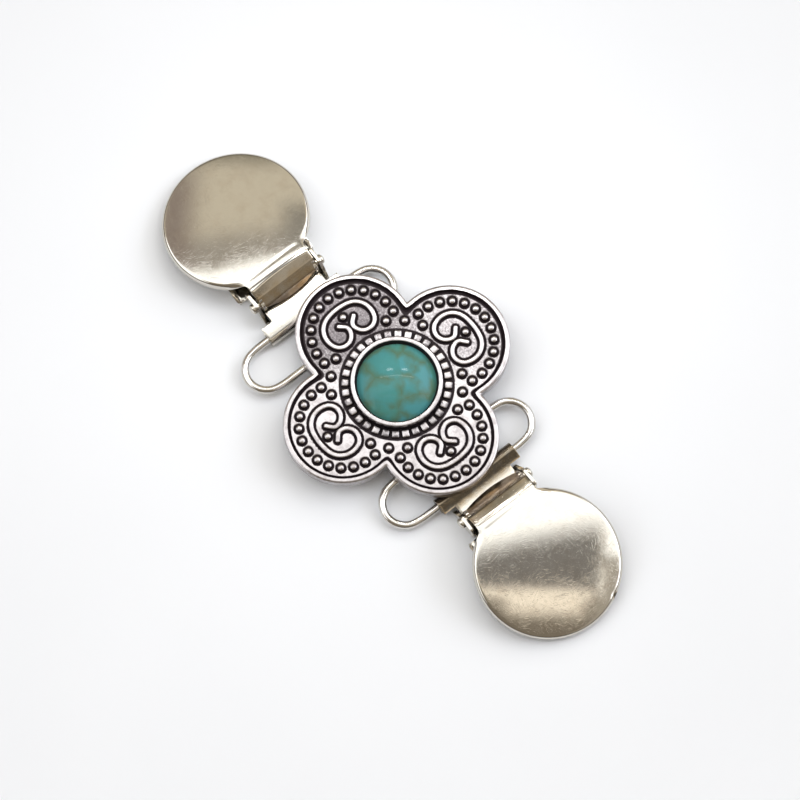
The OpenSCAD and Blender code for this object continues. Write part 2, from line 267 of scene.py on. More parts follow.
def weld(mesh, closed):
    """Merges points that lie on each other. A closed form then has its faces turned outward."""
    work = bmesh.new()
    work.from_mesh(mesh)
    bmesh.ops.remove_doubles(work, verts=work.verts, dist=weld_mm * MM)
    bmesh.ops.dissolve_degenerate(work, edges=work.edges, dist=weld_mm * MM)
    if closed:
        bmesh.ops.recalc_face_normals(work, faces=work.faces)
    work.to_mesh(mesh)
    work.free()


def make_piece(name, sheets, body, node, slot, material, closed=True, sharp_angle=40.0):
    """Joins grids into one piece of one material that rides on a body and stands for a node."""
    points, faces, shade = zip(*sheets)
    starts = np.cumsum([0] + [len(grid) for grid in points])
    points = np.concatenate(points) * MM
    faces = np.concatenate([grid + start for grid, start in zip(faces, starts)])
    mesh = bpy.data.meshes.new(name)
    mesh.vertices.add(len(points))
    mesh.vertices.foreach_set("co", points.ravel())
    mesh.loops.add(faces.size)
    mesh.loops.foreach_set("vertex_index", faces.ravel())
    mesh.polygons.add(len(faces))
    mesh.polygons.foreach_set("loop_start", np.arange(0, faces.size, 4))
    patina_and_shade = mesh.attributes.new("patina_and_shade", "FLOAT", "POINT")
    patina_and_shade.data.foreach_set("value", np.concatenate(shade))
    mesh.update(calc_edges=True)
    weld(mesh, closed)
    mesh.shade_smooth()
    mesh.set_sharp_from_angle(angle=np.radians(sharp_angle))
    mesh.materials.append(material)
    piece = put_in_scene(name, mesh)
    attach(piece, body)
    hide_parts(node)
    print(name, "has", len(mesh.polygons), "faces")
    return piece


def thicken(piece, offset):
    """Gives a bent sheet its thickness and a small round on its cut edges. The offset says where
    the drawn side lies in the metal: -1 is its upper side and 0 its middle."""
    wall = piece.modifiers.new("wall", "SOLIDIFY")
    wall.thickness = sheet_t * MM
    wall.offset = offset
    wall.use_even_offset = True
    wall.use_quality_normals = True
    soft = piece.modifiers.new("soft_edge", "BEVEL")
    soft.width = cut_edge_r * MM
    soft.segments = 2
    soft.limit_method = "ANGLE"
    soft.angle_limit = np.radians(50)


# %% [markdown]
# ## Finishes
# There are four. The steel is nickel plated and tumbled, so it carries fine scratches that lie in
# small patches, each in a direction of its own. The cast ornament is silvered, then darkened, then
# wiped, so the high places are bright and the hollows near black with a touch of purple. The
# stone is turquoise with brown veins, and the wire is the same nickel, smoother.
# %% Finish helpers


def new_finish(name):
    """A material, its shader and the place on the object in metres."""
    material = bpy.data.materials.new(name)
    material.use_nodes = True
    nodes = material.node_tree.nodes
    return material, nodes["Principled BSDF"], nodes.new("ShaderNodeTexCoord").outputs["Object"]


def patina_and_shade_value(material):
    """The mesh's darkness attribute, of patina and painted shade, as a node's output."""
    node = material.node_tree.nodes.new("ShaderNodeAttribute")
    node.attribute_name = "patina_and_shade"
    return node.outputs["Fac"]


def noise(place, size_mm, detail=2.0, roughness=0.5, output="Fac"):
    """Noise whose blobs are about size_mm across, from 0 to 1."""
    inputs = {"Vector": place, "Scale": 1 / (size_mm * MM), "Detail": detail, "Roughness": roughness}
    return wire("ShaderNodeTexNoise", inputs).outputs[output]


def cells(place, size_mm, **settings):
    """A Voronoi node whose cells are about size_mm across."""
    return wire("ShaderNodeTexVoronoi", {"Vector": place, "Scale": 1 / (size_mm * MM)}, **settings)


def bump(height, depth_mm, strength=1.0, **below):
    """Turns a height from 0 to 1 into a tilt of the surface, over another tilt if one is given."""
    inputs = {"Height": height, "Distance": depth_mm * MM, "Strength": strength} | below
    return wire("ShaderNodeBump", inputs).outputs["Normal"]


def moved(place, shift_mm):
    """The place moved by so many millimetres on each axis."""
    return vector_math("ADD", place, tuple(np.array(shift_mm) * MM))


def scratches(place, patch_mm, length_mm, width_mm):
    """Bundles of fine scratches. Round each Voronoi cell's middle the place is turned by a chance
    angle, then stretched along one side, so that noise there becomes a bundle of lines."""
    cell = cells(place, patch_mm)
    local = vector_math("SUBTRACT", place, cell.outputs["Position"])
    chance = wire("ShaderNodeSeparateColor", {"Color": cell.outputs["Color"]}).outputs[0]
    angle = math("MULTIPLY", chance, 2 * np.pi)
    turn = wire("ShaderNodeVectorRotate", {"Vector": local, "Angle": angle}, rotation_type="Z_AXIS")
    scale = (1 / (length_mm * MM), 1 / (width_mm * MM), 1 / (length_mm * MM))
    long = vector_math("MULTIPLY", turn.outputs[0], scale)
    return noise(vector_math("ADD", long, cell.outputs["Color"]), 1 / MM, roughness=0.6)


# %% Nickelled steel
nickel = (0.655, 0.625, 0.565)
nickel_worn = (0.615, 0.575, 0.51)
# Painted colours: brown for reflected shade on the noses and on clip b's tab, black for shade in the
# dent and at that tab's far end.
painted_brown_shade = (0.57, 0.46, 0.315)
painted_black_shade = (0.05, 0.04, 0.03)
wire_steel = (0.70, 0.68, 0.65)
wave_size, wear_size, grain_size, cloud_size = 7.0, 2.6, 1.2, 2.0


def nickel_finish(name, colour, roughness, scratch_mm, wave_mm):
    """Nickel plate on steel: two layers of tumbled scratches over a slow wave from pressing, and
    a slightly yellower colour where the plate is worn. Scratch and wave are heights in mm. The
    mesh's darkness attribute is painted brown shade and reflection, as on the nose and on clip b's
    tab, and above 1 it is painted black shade."""
    material, shader, place = new_finish(name)
    wave = noise(place, wave_size, detail=1.0)
    first = ramp(scratches(place, 1.1, 1.4, 0.15), 0.54, 0.76)
    second = ramp(scratches(moved(place, (3.1, 7.7, 1.3)), 1.5, 1.8, 0.13), 0.56, 0.76)
    normal = bump(math("ADD", first, second), scratch_mm, Normal=bump(wave, wave_mm))
    wear = ramp(noise(place, wear_size, detail=5.0, roughness=0.6), 0.42, 0.75)
    grain = noise(place, grain_size, detail=6.0, roughness=0.7)
    patina_and_shade = patina_and_shade_value(material)
    # Noise breaks the painted brown shade into blotches, and above 1 the darkness turns to painted black
    # shade.
    cloud = ramp(noise(place, cloud_size, detail=3.0), 0.3, 0.65, 0.35, 1.0)
    plated = mix(math("MULTIPLY", patina_and_shade, cloud), mix(wear, colour, nickel_worn), painted_brown_shade)
    fill(shader, {
        "Base Color": mix(ramp(patina_and_shade, 1.1, 1.5), plated, painted_black_shade), "Normal": normal, "Metallic": 1.0,
        "Roughness": ramp(grain, 0.4, 0.7, roughness, roughness + 0.05)})
    return material


face_finish = nickel_finish("satin_nickel_face", nickel, 0.095, 0.0021, 0.01)
plate_finish = nickel_finish("nickel_plate", nickel, 0.14, 0.0025, 0.03)
wire_finish = nickel_finish("nickel_wire", wire_steel, 0.12, 0.0015, 0.01)
print("steel finishes ready")

# %% Antiqued silver
silver = (0.55, 0.522, 0.527)
silver_dull = (0.40, 0.37, 0.375)
silver_hazed = (0.11, 0.098, 0.103)
patina = (0.013, 0.006, 0.009)
speck_size, dull_size, cast_size = 0.3, 1.3, 0.45
# Silver plate over cast metal, darkened and wiped. The darkness attribute of the mesh says how much
# of the dark finish stays, and on the sides of beads, scrolls and pillows and on the bezel's slope
# to the stone it also carries painted shade and reflection: a little is a grey haze, more is solid,
# and noise breaks the edge between them and leaves specks
antique_silver, shader, place = new_finish("antiqued_silver")
patina_and_shade = patina_and_shade_value(antique_silver)
grain = math("SUBTRACT", noise(place, speck_size, detail=4.0, roughness=0.7), 0.5)
dark = ramp(math("ADD", patina_and_shade, math("MULTIPLY", grain, 0.8)), 0.42, 0.72)
haze = ramp(math("ADD", patina_and_shade, math("MULTIPLY", grain, 0.7)), 0.05, 0.46)
dull = ramp(noise(place, dull_size, detail=4.0, roughness=0.7), 0.44, 0.66)
plate = mix(haze, mix(dull, silver, silver_dull), silver_hazed)
fill(shader, {
    "Base Color": mix(dark, plate, patina), "Specular IOR Level": 0.25,
    "Roughness": ramp(dark, 0.0, 1.0, 0.28, 0.6), "Metallic": ramp(dark, 0.0, 1.0, 1.0, 0.0),
    "Normal": bump(noise(place, cast_size, detail=3.0), 0.03, 0.35)})
print("silver finish ready")

# %% Turquoise
teal = (0.07, 0.262, 0.25)
teal_blue = (0.08, 0.29, 0.312)
teal_green = (0.082, 0.262, 0.205)
vein = (0.095, 0.175, 0.11)
lump_mm, bend_mm = 3.9, 2.4
# Large Voronoi cells are the lumps of the stone, each a little bluer or greener, and the bent
# lines between them are soft brown veins that come and go
turquoise, shader, place = new_finish("turquoise")
bend = noise(place, 3.0, detail=3.0, output="Color")
pull = wire("ShaderNodeVectorMath", {0: bend, "Scale": bend_mm * MM}, operation="SCALE")
bent = vector_math("ADD", place, pull.outputs[0])
chance = wire("ShaderNodeSeparateColor", {"Color": cells(bent, lump_mm).outputs["Color"]})
edge = cells(bent, lump_mm, feature="DISTANCE_TO_EDGE").outputs["Distance"]
colour = mix(ramp(chance.outputs[0], 0.35, 0.9), teal, teal_blue)
colour = mix(ramp(chance.outputs[1], 0.45, 1.0, 0.0, 0.8), colour, teal_green)
cloud = ramp(noise(place, 1.6, detail=5.0, roughness=0.6), 0.35, 0.7)
colour = mix(math("MULTIPLY", cloud, 0.35), colour, teal_blue)
fade = ramp(noise(moved(place, (5.0, 2.0, 0.0)), 2.8), 0.30, 0.55)
broad = math("MULTIPLY", ramp(edge, 0.0, 0.30, 0.85, 0.0), fade)
line = math("MULTIPLY", ramp(edge, 0.0, 0.05, 1.0, 0.0), fade)
colour = mix(math("MAXIMUM", broad, line), colour, vein)
fill(shader, {"Base Color": colour, "Roughness": 0.09, "IOR": 1.6, "Specular IOR Level": 0.11})
print("stone finish ready")

# %% [markdown]
# ## Wire loops
# Each loop is round wire bent into a long slot with nearly round ends. Its middle line is built
# from arcs that touch, and a circle is carried along it. It lies tilted between lug and tab.
# %% Loops
wire_r, loop_cc, loop_straight, loop_bend = 0.625, 7.0, 17.2, 10.0


def turned(radius, degrees):
    """Points at a radius and angle in a plane, as (..., 2)."""
    a = np.radians(degrees)
    return np.stack([radius * np.cos(a), radius * np.sin(a)], axis=-1)


def spun(x, y, angle):
    """Coordinates turned about the middle by an angle in radians."""
    return x * np.cos(angle) - y * np.sin(angle), x * np.sin(angle) + y * np.cos(angle)


def raised(flat, height):
    """A grid of flat places, (rows, columns, 2), with their heights."""
    return np.dstack([flat, np.broadcast_to(height, flat.shape[:2])])


def arc(centre, radius, start, end, count):
    """Points and outward angles along an arc, ends included."""
    angles = np.linspace(start, end, count)
    return np.column_stack([np.array(centre) + turned(radius, angles), angles])


def loop_line(length):
    """Half of the loop's middle line: a shallow bend, the round end and a bend back, with radii
    that make the arcs touch, then the same again turned by half a turn."""
    sine, cosine = np.sin(np.radians(loop_bend)), np.cos(np.radians(loop_bend))
    share = (1 - sine) / cosine
    bend_r = (length / 2 - loop_straight / 2 - loop_cc / 2 * share) / (sine - (1 - cosine) * share)
    end_r = (loop_cc / 2 - bend_r * (1 - cosine)) / cosine
    y, x = loop_straight / 2, loop_cc / 2 - bend_r
    half = np.vstack([
        arc([x, y], bend_r, 0, loop_bend, 6)[:-1],
        arc([0, y + (bend_r - end_r) * sine], end_r, loop_bend, 180 - loop_bend, 40)[:-1],
        arc([-x, y], bend_r, 180 - loop_bend, 180, 6)])
    return np.vstack([half, half * [-1, -1, 1] + [0, 0, 180]])


def carried_circle(line, radius, sides=20):
    """A circle carried along a flat line of (x, y, outward angle)."""
    a = np.arange(sides) * 2 * np.pi / sides
    out = turned(1.0, line[:, 2])
    flat = line[:, None, :2] + radius * np.cos(a)[None, :, None] * out[:, None, :]
    return raised(flat, radius * np.sin(a))


def wire_loop(node, side):
    """One loop, tilted so that its inner strand hangs in the lugs and its outer one lies in the
    clip's roll. Side is 1 for loop b and -1 for loop a, which is turned by half a turn."""
    low, high = node_box(node)
    line = loop_line(high[1] - low[1] - 2 * wire_r)
    tilt = np.arctan2(high[2] - low[2] - 2 * wire_r, loop_cc) * side
    x, y, z = np.moveaxis(carried_circle(line, wire_r), -1, 0)
    z, x = spun(z, x, tilt)
    placed = np.stack([x, y, z], axis=-1) + (low + high) / 2
    make_piece(node.replace("wire_", "bent_"), [sheet(placed, True, True)], "body", node,
               "nickel_wire", wire_finish)


wire_loop("wire_loop_a", -1)
wire_loop("wire_loop_b", 1)

# %% [markdown]
# ## Hinge pins
# A pin is a rod whose ends were hammered over the ears. A profile is turned round the pin's own
# axis: half of it is written, and the other end is its mirror.
# %% Pins
shaft_r = 0.6
head_l, head_bow, head_chamfer = 0.85, 0.45, 0.08


def turn_profile(profile, sides=48):
    """A profile of (radius, height) turned once round the height axis."""
    a = np.arange(sides) * 2 * np.pi / sides
    radius = profile[:, :1]
    return raised(np.dstack([radius * np.cos(a), radius * np.sin(a)]), profile[:, 1:])


def hinge_pin(node):
    """The pin with its heads: the end of a head bows out as a quarter of an ellipse."""
    low, high = node_box(node)
    head_r, half = (high[0] - low[0]) / 2, (high[1] - low[1]) / 2
    under = half - head_l
    bow = np.radians(np.linspace(0, 90, 7))
    end = np.column_stack([head_r * np.cos(bow), half - head_bow + head_bow * np.sin(bow)])
    head = np.vstack([[shaft_r, 0.0], [shaft_r, under], [head_r - head_chamfer, under],
                      [head_r, under + head_chamfer], end])
    profile = np.vstack([head[::-1] * [1, -1], head[1:]])
    points = turn_profile(profile)[..., [0, 2, 1]] + (low + high) / 2
    make_piece(node.replace("hinge", "peened"), [sheet(points, close_cols=True)], "body", node,
               "pin_steel", plate_finish)


hinge_pin("hinge_pin_a")
hinge_pin("hinge_pin_b")

# %% [markdown]
# ## Stone
# A cabochon is a low dome over a short straight edge. Its profile is turned like the pin's: a
# flat underside, the edge, a small round, and an arc of a large circle up to the top.
# %% Stone
stone_low, stone_high = node_box("stone")
stone_r = (stone_high[0] - stone_low[0]) / 2
stone_rise, stone_chamfer, stone_edge = 2.2, 0.1, 0.05
stone_foot, stone_top = stone_low[2], stone_high[2]
dome_big_r = (stone_r ** 2 + stone_rise ** 2) / (2 * stone_rise)
dome_line = np.linspace(np.arcsin(stone_r / dome_big_r), 0, 40)
dome_z = stone_top - dome_big_r + dome_big_r * np.cos(dome_line)
stone_profile = np.vstack([
    [0, stone_foot], [stone_r - stone_chamfer, stone_foot], [stone_r, stone_foot + stone_chamfer],
    [stone_r, stone_top - stone_rise - stone_edge],
    np.column_stack([dome_big_r * np.sin(dome_line), dome_z])])
make_piece("cabochon", [sheet(turn_profile(stone_profile, 96), close_cols=True)],
           "body", "stone", "turquoise_stone", turquoise)

# %% [markdown]
# ## Ornament
# The casting is a plate with a smooth rim, a dark groove inside the rim, beads, scrolls, a ring of
# small pillows and the bezel. The plate is one closed skin whose rows run from the middle to the
# outline and back underneath. Beads, scrolls, pillows, bezel and lugs are forms of their own that
# sink into it, which keeps them crisp with few faces.
# %% Plate
lobe_reach, lobe_r = 10.2, 9.05
plate_low, field_z, rim_z = 2.6, 4.55, 5.0
bead_r, bead_ring_r, bead_step, lobe_beads = 0.62, 6.65, 16.35, 13
inner_bead_r, inner_steps = 9.95, np.array([-1, 0, 1]) * 16.3
scroll_bead_reach = lobe_reach + 0.326 * lobe_r
pillow_r, pillow_count = 7.75, 32
rim_w, crown_w, crown_h, groove_h, dip_h = 0.72, 0.36, 0.16, 0.26, 0.12
quarters = np.radians(np.arange(4) * 90)
# The plate's side and seat, each row a distance in from the outline or middle, and a height
side_rows = np.array([[0, 4.72], [0, 4.5], [0, 3.6], [0, 2.85], [0.07, 2.68], [0.25, plate_low]])
seat_rows = np.array([[0, 4], [6, 4], [6, 4.5]])


def smooth(x, low, high):
    """0 below low, 1 above high, and an S curve between."""
    t = np.clip((x - low) / (high - low), 0, 1)
    return t * t * (3 - 2 * t)


def soft_max(first, second, soft):
    """The larger of two values, with a round where they are less than soft apart."""
    gap = np.maximum(soft - np.abs(first - second), 0) / soft
    return np.maximum(first, second) + gap ** 2 * soft / 4


def outline_radius(degrees):
    """Distance from the middle to the outline: of the lobe nearest in angle, the far root of the
    ray's meeting with its circle, with the sharp notch between lobes rounded a little."""
    near = np.abs(np.radians((degrees + 45) % 90 - 45))

    def far_root(angle):
        inside = np.maximum(lobe_r ** 2 - (lobe_reach * np.sin(angle)) ** 2, 0)
        return lobe_reach * np.cos(angle) + np.sqrt(inside)

    return soft_max(far_root(near), far_root(np.minimum(np.pi / 2 - near, 1.05)), 0.5)


def bead_places():
    """All beads: thirteen that follow each lobe, three by each notch and one in each scroll."""
    steps = (np.arange(lobe_beads) - (lobe_beads - 1) / 2) * bead_step
    lobe = np.array([lobe_reach, 0]) + turned(bead_ring_r, steps)
    one = np.vstack([lobe, turned(inner_bead_r, 45 + inner_steps), [[scroll_bead_reach, 0]]])
    return np.stack(spun(one[:, 0], one[:, 1], quarters[:, None]), axis=-1).reshape(-1, 2)


def side_arc(centre, radius, start, end, count):
    """Points along an arc, with angles counted from the sideways direction."""
    a = np.radians(np.linspace(start, end, count))
    return np.column_stack([centre[0] + radius * np.sin(a), centre[1] + radius * np.cos(a)])


def scroll_side():
    """One side of a scroll from the lobe's axis to its curled end: arcs that touch, in shares of
    the lobe's radius, the last of them a tight hook inside the curl, then a straight tail."""
    r = lobe_r
    curl, curl_r, hook_r = (0.116 * r, 0.2575 * r), 0.21 * r, 0.0995 * r
    curl_end, hook_end = np.radians(-170), np.radians(-230)
    hook = np.array(curl) + (curl_r - hook_r) * np.array([np.sin(curl_end), np.cos(curl_end)])
    parts = [side_arc((-0.497 * r, 0.0), 0.994 * r, 90, 76.5, 8),
             side_arc((0.16 * r, 0.158 * r), 0.316 * r, 76.5, -24, 30),
             side_arc(curl, curl_r, -24, -170, 30), side_arc(hook, hook_r, -170, -230, 12)]
    along = np.array([-np.cos(hook_end), np.sin(hook_end)])
    tail = np.concatenate([np.linspace(0.1, 0.9, 5), np.linspace(0.98, 1.32, 9)])
    parts.append(parts[-1][-1] + tail[:, None] * along)
    line = np.vstack([parts[0]] + [part[1:] for part in parts[1:]])
    return line * [1, 0.96] + [lobe_reach, 0]


# The whole scroll is the mirrored side taken backwards, then the side itself
one_side = scroll_side()
scroll = np.vstack([one_side[::-1] * [1, -1], one_side[1:]])
print("scroll is", round(np.hypot(*np.diff(scroll, axis=0).T).sum(), 1), "mm long")


def distance_to_points(xy, points):
    """Least distance from each place to a set of points."""
    return np.hypot(xy[..., :1] - points[:, 0], xy[..., 1:] - points[:, 1]).min(axis=-1)


def folded(xy):
    """Turns each place into the first lobe by quarter turns, so that one lobe's forms serve all."""
    a = np.arctan2(xy[..., 1], xy[..., 0])
    back = -np.round(a / (np.pi / 2)) * np.pi / 2
    return np.stack(spun(xy[..., 0], xy[..., 1], back), axis=-1)


def outline_depth(home):
    """Distance inside the outline of the four lobes, for places folded into the first lobe: the
    greatest of the depths in its own circle and the two beside it, rounded where two are alike."""
    first, left, right = [lobe_r - np.hypot(home[..., 0] - x, home[..., 1] - y)
                          for x, y in ((lobe_reach, 0), (0, lobe_reach), (0, -lobe_reach))]
    second = np.maximum(left, right)
    return soft_max(first, second, 0.3 + 1.6 * np.clip(np.maximum(first, second), 0, 0.8))


def wash(xy):
    """How much more of the dark finish was left on the lobes at the picture's top, where the
    groove's dark also widens as painted shadow of the rim: it grows to the north, and more so in
    the west."""
    north, east = xy @ NORTH[:2], xy @ EAST[:2]
    return 0.05 + 0.37 * smooth(north, -4.0, 7.0) * (1 - 0.35 * smooth(east, -4.0, 5.0))


def plate_skin(cols=720):
    """The plate's closed skin. A row is a distance inside the outline or a share of the way from
    the bezel to it. Heights: the rim is a low crown, the groove a notch inside it, and the field
    dips a little round beads and scrolls. Darkness follows the same distances."""
    angle = np.arange(cols) * 360 / cols
    edge = outline_radius(angle)
    start, margin = 6.5, 1.35
    inner = start + np.linspace(0, 1, 84)[:, None] * (edge - margin - start)
    near_edge = edge - np.linspace(margin, 0.0, 19)[1:, None]
    radius = np.vstack([inner, near_edge])
    xy = turned(radius, angle)
    home = folded(xy)
    depth = outline_depth(home)
    rim = smooth(depth, 0.84, rim_w) * (rim_z - field_z)
    crown = crown_h * np.clip((crown_w - depth) / crown_w, 0, 1) ** 2
    groove = groove_h * smooth(depth, rim_w, 0.86) * smooth(depth, 1.12, 0.98)
    lobe_and_notches = [bead_places()[:lobe_beads + 4], turned(inner_bead_r, -45 + inner_steps)]
    to_bead = distance_to_points(home, np.vstack(lobe_and_notches))
    to_scroll = distance_to_points(home, scroll[9:-9:2])
    dip = dip_h * np.maximum(smooth(to_bead, 0.95, 0.7), smooth(to_scroll, 0.75, 0.5))
    top = raised(xy, field_z + rim - crown - groove - dip)
    # Upper lobes: more patina on the field, and in the groove a painted shadow of the rim.
    shadow, past_rim = wash(xy), smooth(depth, 0.66, 0.76)
    dark = np.maximum.reduce([
        smooth(to_bead, 0.93, 0.78), smooth(to_scroll, 0.80, 0.66), smooth(radius, 8.80, 8.64),
        past_rim * smooth(depth, 1.22 + shadow, 1.04 + 0.5 * shadow), shadow * past_rim])
    under = np.vstack([edge - side_rows[:, :1], np.linspace(0.9, 0.0, 6)[:, None] * edge])
    under_z = np.append(side_rows[:, 1], np.full(6, plate_low))[:, None]
    low = raised(turned(under, angle), under_z)
    well = raised(turned(seat_rows[:, :1], angle), seat_rows[:, 1:])
    shade = np.vstack([np.ones((3, cols)), dark, np.full((12, cols), 0.12)])
    return sheet(np.vstack([well, top, low]), close_cols=True, patina_and_shade=shade)


def cast_piece(name, sheets, sharp_angle=60):
    """A piece of the casting."""
    make_piece(name, sheets, "body", "ornament", "antiqued_silver", antique_silver,
               sharp_angle=sharp_angle)


cast_piece("cast_plate", [plate_skin()])

# %% Beads and pillows
bead_h, foot_depth = 0.56, 0.2
pillow_half_l, pillow_half_w, pillow_h, pillow_sink, pillow_flare = 0.68, 0.60, 0.44, 0.02, 0.06


def bead_form():
    """A bead worn flat on top: rows go from a flat foot up a ball whose radius and height are
    raised to a power a little below 1."""
    rise = np.radians(np.array([0, 8, 16, 26, 36, 46, 56, 66, 74, 82, 90]))
    across, up = np.abs(np.cos(rise)) ** 0.85, np.sin(rise) ** 0.85
    profile = np.column_stack([bead_r * across, bead_h * up])
    profile = np.vstack([[0, -foot_depth], [bead_r, -foot_depth], profile[:-1], [0, bead_h]])
    r = profile[:, :1]
    # Darker down the bead's side: patina at its foot, and painted shade and reflection of the dark room
    # higher up.
    dark = 0.17 * smooth(r, 0.20, 0.42) + 0.83 * smooth(r, 0.44, 0.55)
    return turn_profile(profile, 24), np.where(profile[:, 1:] < bead_h, dark, 0)


def pillow_form():
    """A small cushion: a box whose sides and top are rounded by powers of sine and cosine."""
    rise = np.radians(np.linspace(-20, 90, 9))[:, None]
    turn = np.radians(np.arange(24) * 15)[None, :]

    def power(value, exponent):
        return np.sign(value) * np.abs(value) ** exponent

    flat = power(np.cos(rise), 0.35)
    x = pillow_half_l * flat * power(np.cos(turn), 0.4)
    y = pillow_half_w * flat * power(np.sin(turn), 0.4)
    z = pillow_h * power(np.sin(rise), 0.6) * np.ones_like(turn)
    z[0] = -foot_depth
    form = np.dstack([x, y, z])
    # Darker down the pillow's sides: patina at the foot, and painted shade and reflection above it.
    return np.vstack([form[:1] * [0, 0, 1], form]), smooth(np.vstack([z[:1], z]), 0.435, 0.22)


def spun_copies(form, angles):
    """Copies of a grid turned about the ornament's middle, one for each angle."""
    x, y = spun(form[..., 0], form[..., 1], angles[:, None, None])
    return np.stack([x, y, np.broadcast_to(form[..., 2], x.shape)], axis=-1)


bead, bead_patina_and_shade = bead_form()
places = raised(bead_places()[:, None], field_z)[:, None]
beads = sheet(bead + places, close_cols=True, patina_and_shade=bead_patina_and_shade)
pillow, pillow_patina_and_shade = pillow_form()
x, y, z = np.moveaxis(pillow, -1, 0)
out = x + pillow_r
flared = np.dstack([out, y * (1 + pillow_flare * (out - pillow_r)), z + field_z - pillow_sink])
turns = np.radians((np.arange(pillow_count) + 0.5) * 360 / pillow_count)
wear = np.random.default_rng(5).uniform(0.0, 0.26, pillow_count)[:, None, None]
# Painted shade darkens both radial ends of each pillow, as on a rounded barrel.
ends = 0.30 * smooth(np.abs(x), 0.22, 0.62)
pillows = sheet(spun_copies(flared, turns), close_cols=True,
                patina_and_shade=np.maximum(pillow_patina_and_shade, ends + wear))
cast_piece("cast_beads", [beads, pillows])

# %% Scrolls
scroll_half_w, scroll_h, scroll_sink = 0.41, 0.44, 0.16


def ridge(path, sides=13):
    """A rounded ridge carried along a flat path. Across it the height follows (1 - x^6)^(1/2),
    and both it and the width shrink to nothing over the last half width, for round ends."""
    step = np.linalg.norm(np.diff(path, axis=0), axis=1)
    run = np.concatenate([[0], np.cumsum(step)])
    end = np.minimum(run, run[-1] - run)

    def rounded(share):
        return np.sqrt(1 - (1 - np.clip(share, 0, 1)) ** 2)[:, None]

    taper, lift = rounded(end / scroll_half_w), rounded(end / (0.5 * scroll_half_w))
    along = np.gradient(path, run, axis=0)
    along /= np.linalg.norm(along, axis=1)[:, None]
    across = along[:, ::-1] * [1, -1]
    sine = np.sin(np.linspace(-1, 1, sides) * np.pi / 2)
    x, top = np.append(sine, 0.0), np.append((1 - sine ** 6) ** 0.5, 0.0)
    flat = path[:, None] + (taper * x * scroll_half_w)[..., None] * across[:, None]
    z = field_z - scroll_sink + top * (scroll_h + scroll_sink) * lift
    # The ridge's sides are darker: patina along the foot, and painted shade and reflection on the
    # slopes.
    return raised(flat, z), smooth(np.abs(x), 0.80, 0.93)


one_scroll, scroll_patina_and_shade = ridge(scroll)
four_scrolls = spun_copies(one_scroll, quarters)
cast_piece("cast_scrolls", [sheet(four_scrolls, close_cols=True, patina_and_shade=scroll_patina_and_shade)])

# %% Bezel and lugs
# The bezel's section, each row a radius, a height and a darkness: up the outside, over a narrow
# bright top, down a dark slope to the stone, and back under it. The darkness at the outside's foot
# is patina; on the slope to the stone it is patina and painted shadow of the gap round the stone
bezel_rows = np.array([
    [6.95, 4.3, 1], [6.95, 4.62, 0.9], [6.95, 6.36, 0.1], [6.94, 6.43, 0], [6.90, 6.48, 0],
    [6.84, 6.5, 0], [6.42, 6.5, 0], [6.35, 6.48, 0.1], [6.31, 6.42, 0.5], [6.28, 6.28, 0.95],
    [6.04, 5.72, 1], [6.03, 5.60, 1], [6.06, 5.50, 1], [6.06, 4.3, 1]])
lug_x, lug_y, lug_z = 11.1, 3.2, 1.675
lug_centres = np.array([(x, y, lug_z) for x in (-lug_x, lug_x) for y in (-lug_y, lug_y)])
lug_half, lug_bore, lug_l, lug_chamfer = 1.325, 0.72, 2.4, 0.12


def ringed(rings, a, half_width):
    """Rings of radius and share of the half width, round an axis along y."""
    return np.array([np.column_stack([r * np.cos(a), np.full(len(a), share * half_width), r * np.sin(a)])
                     for r, share in rings])


def lug_skin():
    """A lug: a square block round a bore. Around the bore's axis run a small circle and a rounded
    square, each at both faces, and the four rings close on each other."""
    a = np.radians(np.arange(64) * 360 / 64)
    square = lug_half / (np.abs(np.cos(a)) ** 8 + np.abs(np.sin(a)) ** 8) ** (1 / 8)
    inner = square - lug_chamfer
    bevel = lug_bore + 0.1
    return ringed([(lug_bore, -1), (bevel, -1), (inner, -1), (square, -0.9), (square, 0.9),
                   (inner, 1), (bevel, 1), (lug_bore, 1)], a, lug_l / 2)


bezel = sheet(turn_profile(bezel_rows[:, :2], 144), True, True, patina_and_shade=bezel_rows[:, 2:])
lugs = sheet(lug_skin() + lug_centres[:, None, None], True, True, patina_and_shade=0.2)
cast_piece("cast_bezel", [bezel, lugs], sharp_angle=40)

# %% [markdown]
# ## Clip plates
# A clip's base is one blank of half-millimetre steel: a floor, two ears folded up at its sides, a
# tab that climbs over the wire and curls under it, and a round jaw with a turned-up lip. The
# folds share their columns of points with the floor, so the blank stays one sheet, and Solidify
# gives it its thickness about the middle.
# %% Blank
mid_z = 0.256
pin_z, pin_x, neck_half = 3.75, 22.684, 5.35
ear_mid, fold_r, ear_lean = 5.75, 0.55, 0.045
floor_half = ear_mid - fold_r
tab_half, roll_mid_r, tab_reach, roll_z = 7.2, 0.955, 4.6, 1.205
jaw_centre, jaw_r, jaw_side, lip_top, lip_bend_r = 12.84, 8.95, 6.95, 1.1, 0.35
slide = {side: sum(node_box(f"hinge_pin_{side}"))[1] / 2 for side in "ab"}
floor_v = np.linspace(-floor_half, floor_half, 23)
floor_u = np.linspace(-2.6, 2.3, 26)
ramp_row, wing_row = 8, 11
# For each clip: how much painted shade and reflection of the ornament lies on its tab, and the slope of
# the tab's top at the roll and at the ramp
tab_painted_shade = {"a": 0.0, "b": 1.36}
tab_slopes = {"a": (8.0, 0.0), "b": (-17.0, -3.0)}
tab_top_u = np.array([-1.55, -1.95, -2.3, -2.65, -2.95, -3.3, -3.7, -4.1])


